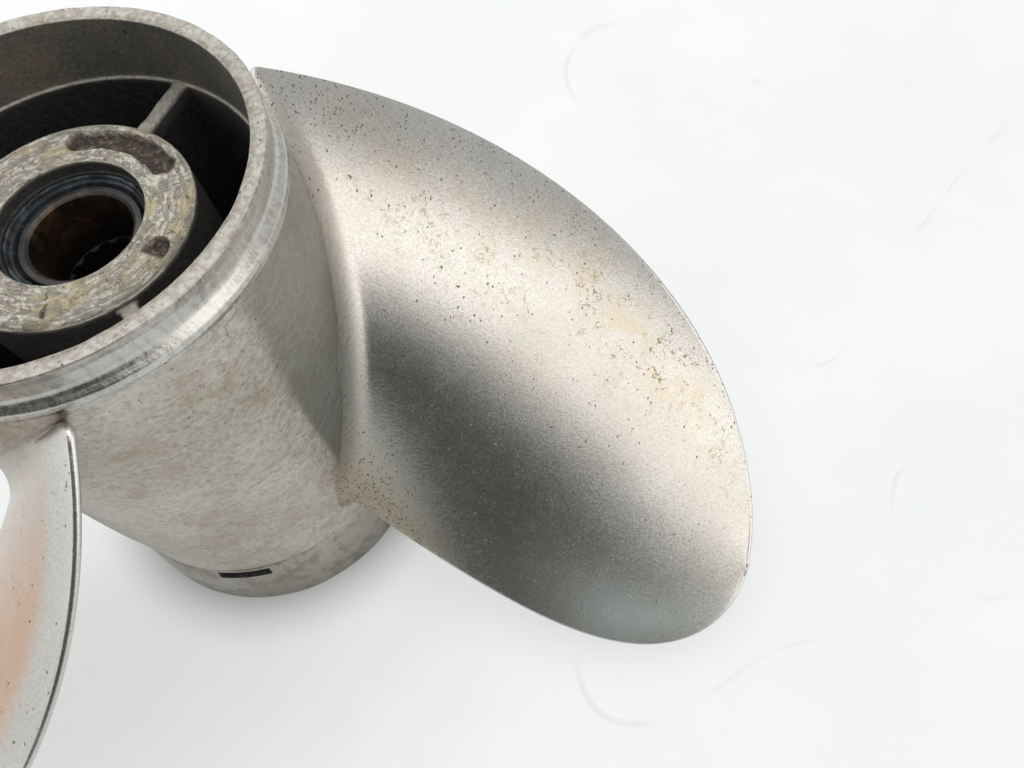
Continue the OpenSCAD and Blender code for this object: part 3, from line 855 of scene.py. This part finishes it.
# ---------------------------------------------------------------- webs
def web_piece(name, azimuth):
    """Radial web: a rounded bar that flares where it meets the hub and the barrel."""
    along = np.linspace(HUB_R - 0.6 * MM, PASSAGE_R + 0.6 * MM, 48)
    top = WEB_TOP_Z - 0.15 * MM
    flare = 1.4 * MM
    to_end = np.minimum(along - HUB_R, PASSAGE_R - along).clip(0, flare)
    grow = flare - np.sqrt(flare ** 2 - (flare - to_end) ** 2)
    corner = 0.9 * MM
    rows = []
    for x, g in zip(along, grow):
        half = WEB_T / 2 - 0.1 * MM + 0.5 * g
        arc = [(half - corner + corner * math.cos(t), top - corner + corner * math.sin(t))
               for t in np.linspace(0, math.pi / 2, 6)]
        flat = [(y, top) for y in np.linspace(half - corner, corner - half, 16)[1:-1]]
        left = [(-y, z) for y, z in reversed(arc)]
        depth = top - corner
        down = [(-half, depth - (depth - HUB_AFT_Z) * k / 30) for k in range(1, 31)]
        upward = [(half, HUB_AFT_Z + (depth - HUB_AFT_Z) * k / 30) for k in range(0, 30)]
        rows.append([(x, y, z) for y, z in arc + flat + left + down + upward])
    points = np.array(rows)
    count = points.shape[1]
    wobble = ripples(points, 5 * MM, 61) * 0.10 * MM
    points[..., 2] += np.where(points[..., 2] > top - corner, np.minimum(wobble, 0.1 * MM), 0)
    turn = math.radians(azimuth)
    x, y = points[..., 0].copy(), points[..., 1].copy()
    points[..., 0] = x * math.cos(turn) - y * math.sin(turn)
    points[..., 1] = x * math.sin(turn) + y * math.cos(turn)
    faces = loop_faces(len(along), count, False)
    faces += [tuple(range(count)), tuple((len(along) - 1) * count + k for k in reversed(range(count)))]
    # Soot and painted shade, near black, down the web's sides below its top
    below = smooth((top - 0.45 * MM - points[..., 2]) / (0.6 * MM))
    return make_object(name, points.reshape(-1, 3), faces, {
        "soot": np.maximum(below, 0.25), "crust": 0.15 * (1 - below), "pocket": 0 * below,
        "turned": points * 1.5, "rim": 0 * below,
    })


# ---------------------------------------------------------------- blades
def edge_azimuth(x, root, slope, bend, roundness):
    close = 1 - np.sqrt(np.clip(1 - x ** roundness, 0, None))
    return root + slope * x + bend * x * x + (TIP_AZ - root - slope - bend) * close


def on_cylinder(r, azimuth, lift):
    """Surface point lifted along its cylinder's surface, so that it stays at radius r."""
    lead = PITCH / (2 * math.pi)
    norm = np.hypot(r, lead)
    turned = np.radians(azimuth) - lift * lead / norm / r
    z = LEAD_ROOT_Z + PITCH * (azimuth - LEAD_REF_AZ) / 360 - RAKE * (r - BARREL_R) + lift * r / norm
    return np.stack([r * np.cos(turned), r * np.sin(turned), z], -1)


def blade_piece(name, turn, seed, painted_orange_reflection):
    """One blade: cambered forward face, flat aft face, rounded edges and a filleted root."""
    span = TIP_R - BARREL_R
    first = math.asin(FILLET / span)
    radii = np.concatenate([
        [BARREL_R - 1.6 * MM],
        BARREL_R - 0.35 * MM + FILLET * (1 - np.cos(np.linspace(0, math.pi / 2, 16)))[:-1],
        BARREL_R + span * np.sin(np.linspace(first, math.radians(88.9), 110)),
    ])
    x = np.clip((radii - BARREL_R) / span, 0, 1)[:, None]
    r = radii[:, None]
    lead_az = edge_azimuth(x, *LEAD_EDGE)
    trail_az = edge_azimuth(x, *TRAIL_EDGE)
    # Two small nicks near the tip, and a rounded corner where the leading edge meets the barrel
    nicks = 0.012 * bump(x, 0.962, 0.012) + 0.008 * bump(x, 0.93, 0.01)
    lead_az = lead_az + (trail_az - lead_az) * nicks
    lead_az = lead_az - LEAD_CORNER * np.clip(1 - (r - BARREL_R) / (5 * MM), 0, 1) ** 2
    c = (1 - np.cos(np.linspace(0, math.pi, 110)))[None] / 2
    rise = np.clip(r - BARREL_R + 0.35 * MM, 0, FILLET)
    spread = FILLET - np.sqrt(FILLET ** 2 - (FILLET - rise) ** 2)
    trail_az = trail_az - np.degrees(0.45 * spread / r)
    azimuth = lead_az + (trail_az - lead_az) * c
    share = np.minimum(smooth(0.25 + 5 * c), smooth(0.35 + 5 * (1 - c)))
    full = ROOT_T + (TIP_T - ROOT_T) * x ** 0.8
    camber = (full - EDGE_T) * np.sin(math.pi * c) ** 0.9
    flat = on_cylinder(r, azimuth, 0 * azimuth)
    hand_ground = ripples(flat, 60 * MM, seed) * 0.10 * MM * smooth(x * 8)
    taper = np.sin(math.pi * c) ** 0.5
    top = on_cylinder(r, azimuth, EDGE_T / 2 + camber + spread * share + hand_ground * taper)
    low = on_cylinder(r, azimuth, -EDGE_T / 2 - spread * share + hand_ground * taper * 0.5)
    rounds = np.linspace(math.pi / 2, -math.pi / 2, 9)[1:-1]

    def rounded_edge(column, inward):
        """Half-round edge that joins the two faces, square to the outline."""
        mid = (top[:, column] + low[:, column]) / 2
        up = (top[:, column] - low[:, column]) / 2
        height = np.linalg.norm(up, axis=1, keepdims=True)
        tangent = np.gradient(mid, axis=0)
        outward = np.cross(tangent, up)
        outward /= np.maximum(np.linalg.norm(outward, axis=1, keepdims=True), 1e-12)
        towards = mid - (top[:, inward] + low[:, inward]) / 2
        outward *= np.sign((outward * towards).sum(1, keepdims=True))
        reach = np.minimum(height, EDGE_T / 2 + 0.1 * spread)
        return np.stack([mid + outward * reach * math.cos(t) + up * math.sin(t) for t in rounds], 1)

    trail_edge = rounded_edge(-1, -4)
    lead_edge = rounded_edge(0, 3)[:, ::-1]
    rings = np.concatenate([top, trail_edge, low[:, ::-1], lead_edge], 1)
    count = rings.shape[1]
    # The tip is closed by rings that shrink in thickness as they step outwards
    mirrored = np.concatenate([low[-1], trail_edge[-1][::-1], top[-1][::-1], lead_edge[-1][::-1]])
    last_mid = (rings[-1] + mirrored) / 2
    radial = last_mid.copy()
    radial[:, 2] = 0
    radial /= np.linalg.norm(radial, axis=1, keepdims=True)
    caps = [last_mid + (rings[-1] - last_mid) * math.cos(t) + radial * EDGE_T / 2 * math.sin(t)
            for t in np.linspace(0, math.pi / 2, 6)[1:-1]]
    rings = np.concatenate([rings, np.array(caps)], 0)
    rows = len(rings)
    nc, ne = top.shape[1], len(rounds)
    chord = np.concatenate([c[0], np.ones(ne), c[0][::-1], np.zeros(ne)])[None] + np.zeros((rows, 1))
    part = np.concatenate([x[:, 0], np.ones(len(caps))])[:, None] + np.zeros((1, count))
    faces = loop_faces(rows, count, False)

    def back(k):
        return 2 * nc + ne - 1 - k

    for base, flip in ((0, True), ((rows - 1) * count, False)):
        strip = [(base + k, base + k + 1, base + back(k + 1), base + back(k)) for k in range(nc - 1)]
        strip.append((base + nc - 1, *(base + nc + k for k in range(ne)), base + nc + ne))
        strip.append((base, base + back(0), *(base + 2 * nc + ne + k for k in range(ne))))
        faces += [f[::-1] for f in strip] if flip else strip
    spin = math.radians(turn)
    matrix = np.array([[math.cos(spin), -math.sin(spin), 0], [math.sin(spin), math.cos(spin), 0], [0, 0, 1]])
    verts = rings.reshape(-1, 3) @ matrix.T
    near_edge = np.exp(-np.minimum(chord, 1 - chord) * 60 * (0.3 + part))
    pits = 0.02 + 0.5 * bump(part, 0, 0.14) * bump(chord, 1, 0.2)
    pits = pits + 0.6 * bump(part, 0.05, 0.26) * bump(chord, 0, 0.14)
    pits = pits + 0.3 * bump(chord, 0, 0.1) + 0.05 * bump(part, 0.3, 0.4) * bump(chord, 0.5, 0.4)
    pits = pits * (1 - 0.5 * bump(part, 0.02, 0.05) * bump(chord, 0.5, 0.3))
    pits = pits * (0.15 if painted_orange_reflection else 1)
    rust = bump(part, 0.71, 0.19) * bump(chord, 0.24, 0.13)
    rust = rust + 0.35 * bump(part, 0.3, 0.28) * bump(chord, 0.26, 0.2)
    corner = bump(part, 0.02, 0.17) * bump(chord, 1.0, 0.2)
    corner = corner + 0.6 * bump(part, 0.2, 0.15) * bump(chord, 1.0, 0.07)
    # Painted reflection: a teal band along the trailing edge, out towards the tip
    tint = bump(part, 0.76, 0.2) * bump(chord, 0.93, 0.11)
    root = 1 - smooth(x[:, 0] * span / (6 * MM))
    root = np.concatenate([root, np.zeros(len(caps))])[:, None] + 0 * part
    # Painted reflection: the barrel's dark reflection carried onto the root, towards the trailing edge
    wake = (1 - smooth((part * span - 0.8 * MM) / (4 * MM))) * smooth((chord - 0.25) / 0.3)
    wake = wake * (1 - smooth((chord - 0.88) / 0.07))
    # Painted reflection: an orange patch on one blade, of something warm that it reflects
    warm = bump(part, 0.28, 0.22) * smooth((chord - 0.05) / 0.08) * (1 - smooth((chord - 0.4) / 0.3))
    return make_object(name, verts, faces, {
        "pits": np.clip(pits, 0, 1), "rust": np.clip(rust * 1.4, 0, 1), "corner": np.clip(corner, 0, 1),
        "edge": np.clip(near_edge, 0, 1), "tint": tint, "root": root, "wake": wake, "warm": painted_orange_reflection * warm,
    })


# ---------------------------------------------------------------- build
steel, cast, polished, hub, black, sleeve = (
    blade_steel(), cast_steel(), polished_steel(), hub_steel(), rubber(), sleeve_metal(),
)
place(collar_piece(), "propeller", "front_collar", polished)
place(barrel_piece(), "propeller", "outer_barrel", cast)
place(diffuser_piece(), "propeller", "diffuser_ring", cast)
place(hub_piece(), "propeller", "inner_hub", hub)
place(cushion_piece(), "propeller", "rubber_cushion", black)
place(sleeve_piece(), "sleeve", "drive_sleeve", sleeve)
for k, step in enumerate((0, -1, 1)):
    web = web_piece(f"web_{k + 1}_surface", WEB_AZ + step * STEP)
    place(web, "propeller", f"web_{k + 1}", hub)
    blade = blade_piece(f"blade_{k + 1}_surface", step * STEP, 71 + k, 1.0 if k == 1 else 0)
    place(blade, "propeller", f"blade_{k + 1}", steel)


# ---------------------------------------------------------------- stage
def floor_piece():
    """Pale smooth table with a faint painted glow, which fades out under the part as a painted shadow."""
    n = Nodes("table")
    cloud = n.noise(9, 4, 0.6)
    colour = n.mix(n.ramp(cloud, 0.35, 0.65), (0.236, 0.243, 0.243), (0.262, 0.268, 0.267))
    line = n.math("ABSOLUTE", n.math("SUBTRACT", n.noise(4.5, 2, 0.4, 0.3), 0.5))
    broken = n.ramp(n.noise(16, 3, 0.6), 0.50, 0.62)
    scratch = n.times(n.ramp(line, 0.0035, 0.001), broken)
    specks = pit_mask(n, 32, 0.10, 0.10)
    mark = n.most(n.times(specks, 0.3), n.times(scratch, 0.3))
    colour = n.mix(mark, colour, (0.10, 0.10, 0.095))
    span = n.add("ShaderNodeVectorMath", {0: n.stretched((1, 1, 0))}, operation="LENGTH").outputs["Value"]
    # Painted glow, faded out under the part as a painted shadow
    glow_outside_shadow = n.math("SUBTRACT", n.ramp(span, 0.04, 0.075, 0.04, 1.0), n.times(mark, 0.12))
    glow = n.mix(glow_outside_shadow, (0, 0, 0), (0.975, 1.0, 0.995))
    n.link(glow, n.shader.inputs["Emission Color"])
    n.link(0.56, n.shader.inputs["Emission Strength"])
    material = n.finish(colour, 0.5, 0.0, n.relief(n.noise(120, 3), 0.00005))
    size = 3.0
    signs = ((-1, -1), (1, -1), (1, 1), (-1, 1))
    verts = np.array([[a * size, b * size, AFT_Z] for a, b in signs])
    obj = make_object("table", verts, [(0, 1, 2, 3)])
    obj.data.materials.append(material)


def studio_world():
    """Soft room: bright overhead, grey on one side and dark where the observer stands."""
    world = bpy.data.worlds.new("studio")
    bpy.context.scene.world = world
    world.use_nodes = True
    tree = world.node_tree
    tree.nodes.clear()

    def add(kind, inputs=None, **settings):
        node = tree.nodes.new(kind)
        for key, value in settings.items():
            setattr(node, key, value)
        for key, value in (inputs or {}).items():
            if isinstance(value, (int, float, tuple)):
                node.inputs[key].default_value = value
            else:
                tree.links.new(value, node.inputs[key])
        return node

    def step(value, low, high):
        inputs = {0: value, 1: low, 2: high}
        return add("ShaderNodeMapRange", inputs, interpolation_type="SMOOTHSTEP").outputs[0]

    def mixed(factor, a, b):
        node = add("ShaderNodeMix", {0: factor, 6: a, 7: b}, data_type="RGBA")
        return node.outputs[2]

    axis = add("ShaderNodeSeparateXYZ", {0: add("ShaderNodeTexCoord").outputs["Generated"]}).outputs
    angle = add("ShaderNodeMath", {0: axis[1], 1: axis[0]}, operation="ARCTAN2").outputs[0]
    dark_low = step(angle, math.radians(-50), math.radians(-72))
    dark_high = step(angle, math.radians(-165), math.radians(-135))
    dark = add("ShaderNodeMath", {0: dark_low, 1: dark_high}, operation="MULTIPLY").outputs[0]
    window_a = step(angle, math.radians(-52), math.radians(-40))
    window_b = step(angle, math.radians(8), math.radians(-10))
    window = add("ShaderNodeMath", {0: window_a, 1: window_b}, operation="MULTIPLY").outputs[0]
    back_a = step(angle, math.radians(72), math.radians(95))
    back_b = step(angle, math.radians(-152), math.radians(-168))
    back = add("ShaderNodeMath", {0: back_a, 1: back_b}, operation="MAXIMUM").outputs[0]
    overhead = step(axis[2], math.sin(math.radians(45)), math.sin(math.radians(62)))
    grey = (0.69, 0.69, 0.67, 1.0)
    colour = mixed(back, grey, (1.45, 1.45, 1.43, 1.0))
    colour = mixed(dark, colour, (0.11, 0.112, 0.10, 1.0))
    colour = mixed(window, colour, (1.95, 1.88, 1.76, 1.0))
    colour = mixed(overhead, colour, (2.05, 2.08, 2.1, 1.0))
    background = add("ShaderNodeBackground", {"Color": colour, "Strength": 1.0})
    output = add("ShaderNodeOutputWorld")
    tree.links.new(background.outputs[0], output.inputs[0])


def camera():
    """Camera close above the forward end, looking down and across the first blade."""
    data = bpy.data.cameras.new("camera")
    data.sensor_width = 36
    data.lens = 27.284
    data.clip_start = 0.005
    obj = bpy.data.objects.new("camera", data)
    forward = Vector((-0.0567, 0.4526, -0.8899)).normalized()
    right = forward.cross(Vector((0.0288, 0.8917, 0.4517))).normalized()
    up = right.cross(forward)
    obj.matrix_world = Matrix.Translation((0.11007, -0.11322, 0.13994)) @ Matrix((
        (right.x, up.x, -forward.x, 0), (right.y, up.y, -forward.y, 0),
        (right.z, up.z, -forward.z, 0), (0, 0, 0, 1),
    ))
    bpy.context.scene.collection.objects.link(obj)
    bpy.context.scene.camera = obj


floor_piece()
studio_world()
camera()
bpy.context.scene.view_settings.view_transform = "Standard"
